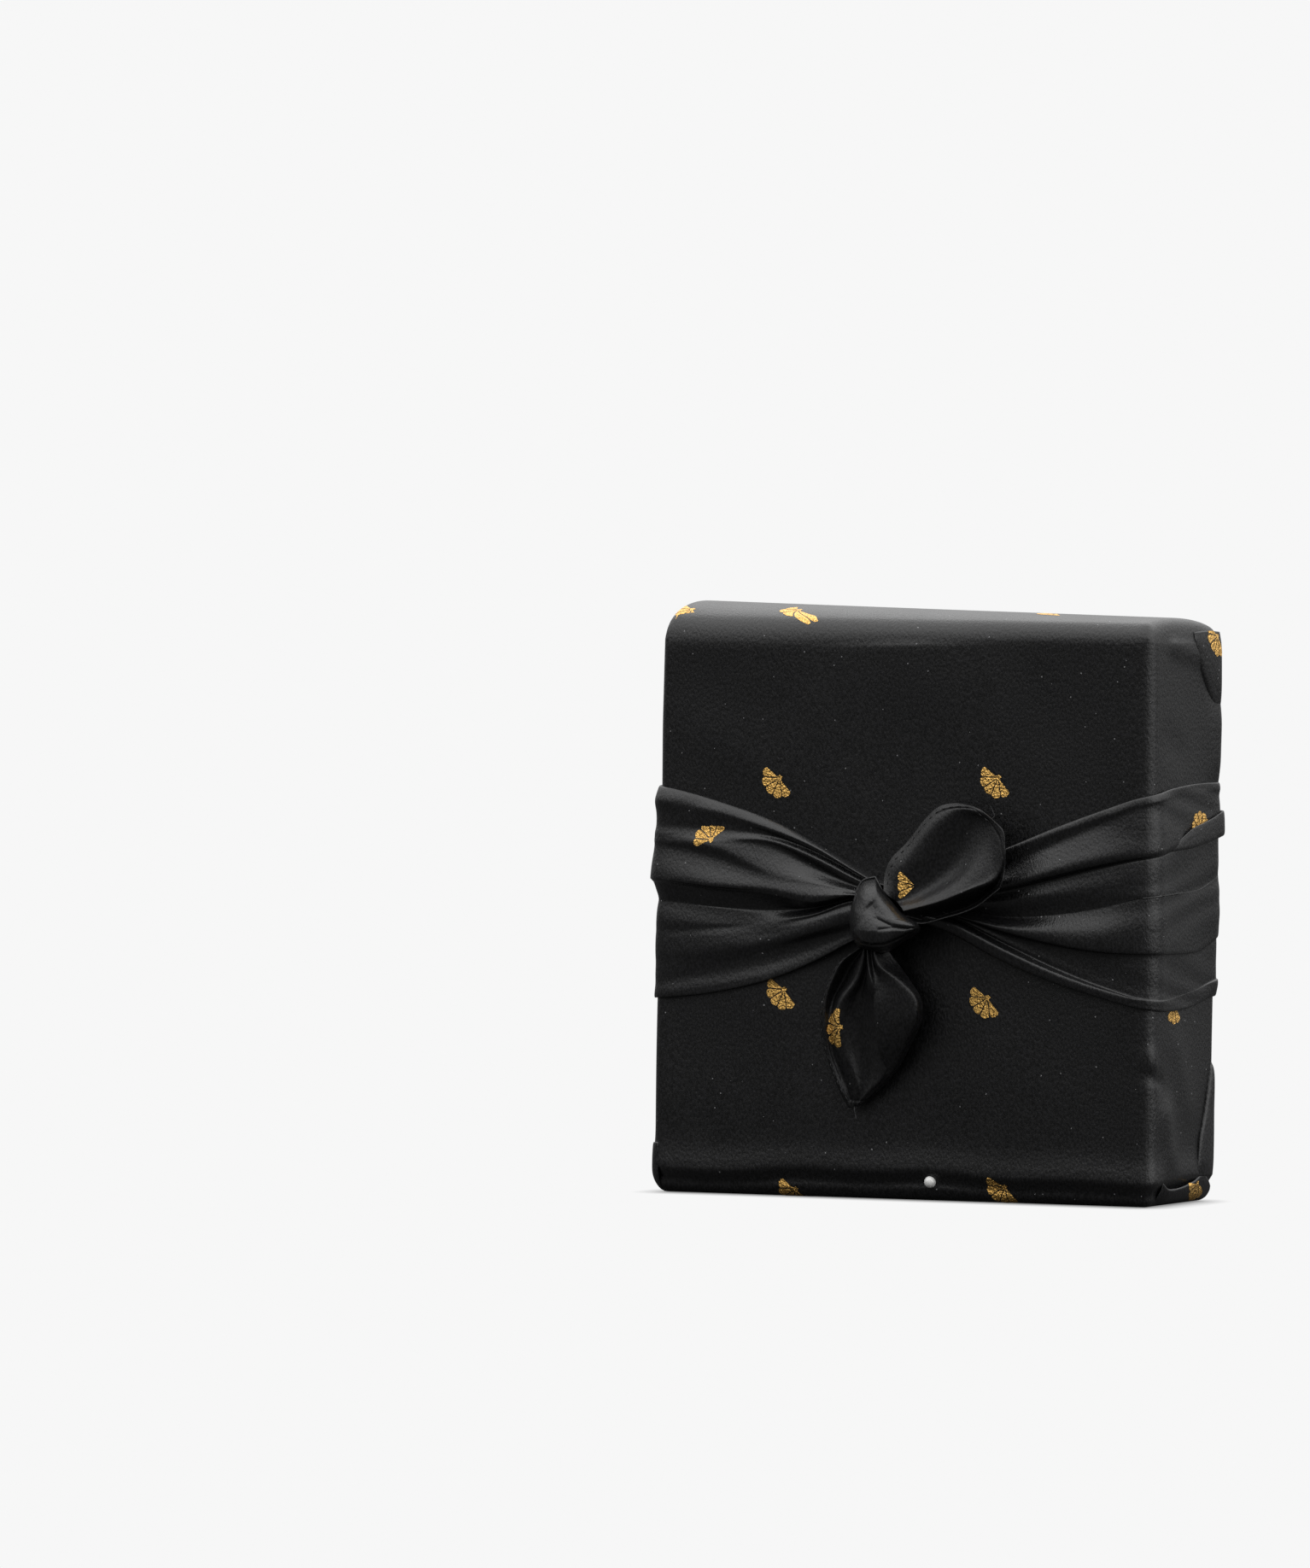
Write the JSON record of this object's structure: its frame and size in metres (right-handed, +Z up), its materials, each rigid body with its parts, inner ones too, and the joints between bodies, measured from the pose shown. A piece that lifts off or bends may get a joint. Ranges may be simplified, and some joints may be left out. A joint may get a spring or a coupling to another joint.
{
  "type": "furoshiki-wrapped parcel",
  "caption": "Flat square parcel wrapped in black satin furoshiki cloth with small gold shells, its corners tied in a knot over the front, leaving a leaf-shaped tail up and another down.",
  "frame": {"origin": "middle of the flat base that the parcel stands on", "axes": "+Z up, -Y out of the front with the knot, +X to the viewer's right as one faces the knot"},
  "size_m": [0.1666, 0.0689, 0.1712],
  "materials": {
    "cloth": "black satin weave with small gold foil shells",
    "pin": "pearl white bead head"
  },
  "bodies": {
    "root": {"furoshiki_cloth": "cloth", "bead_pin": "pin"}
  },
  "joints": []
}
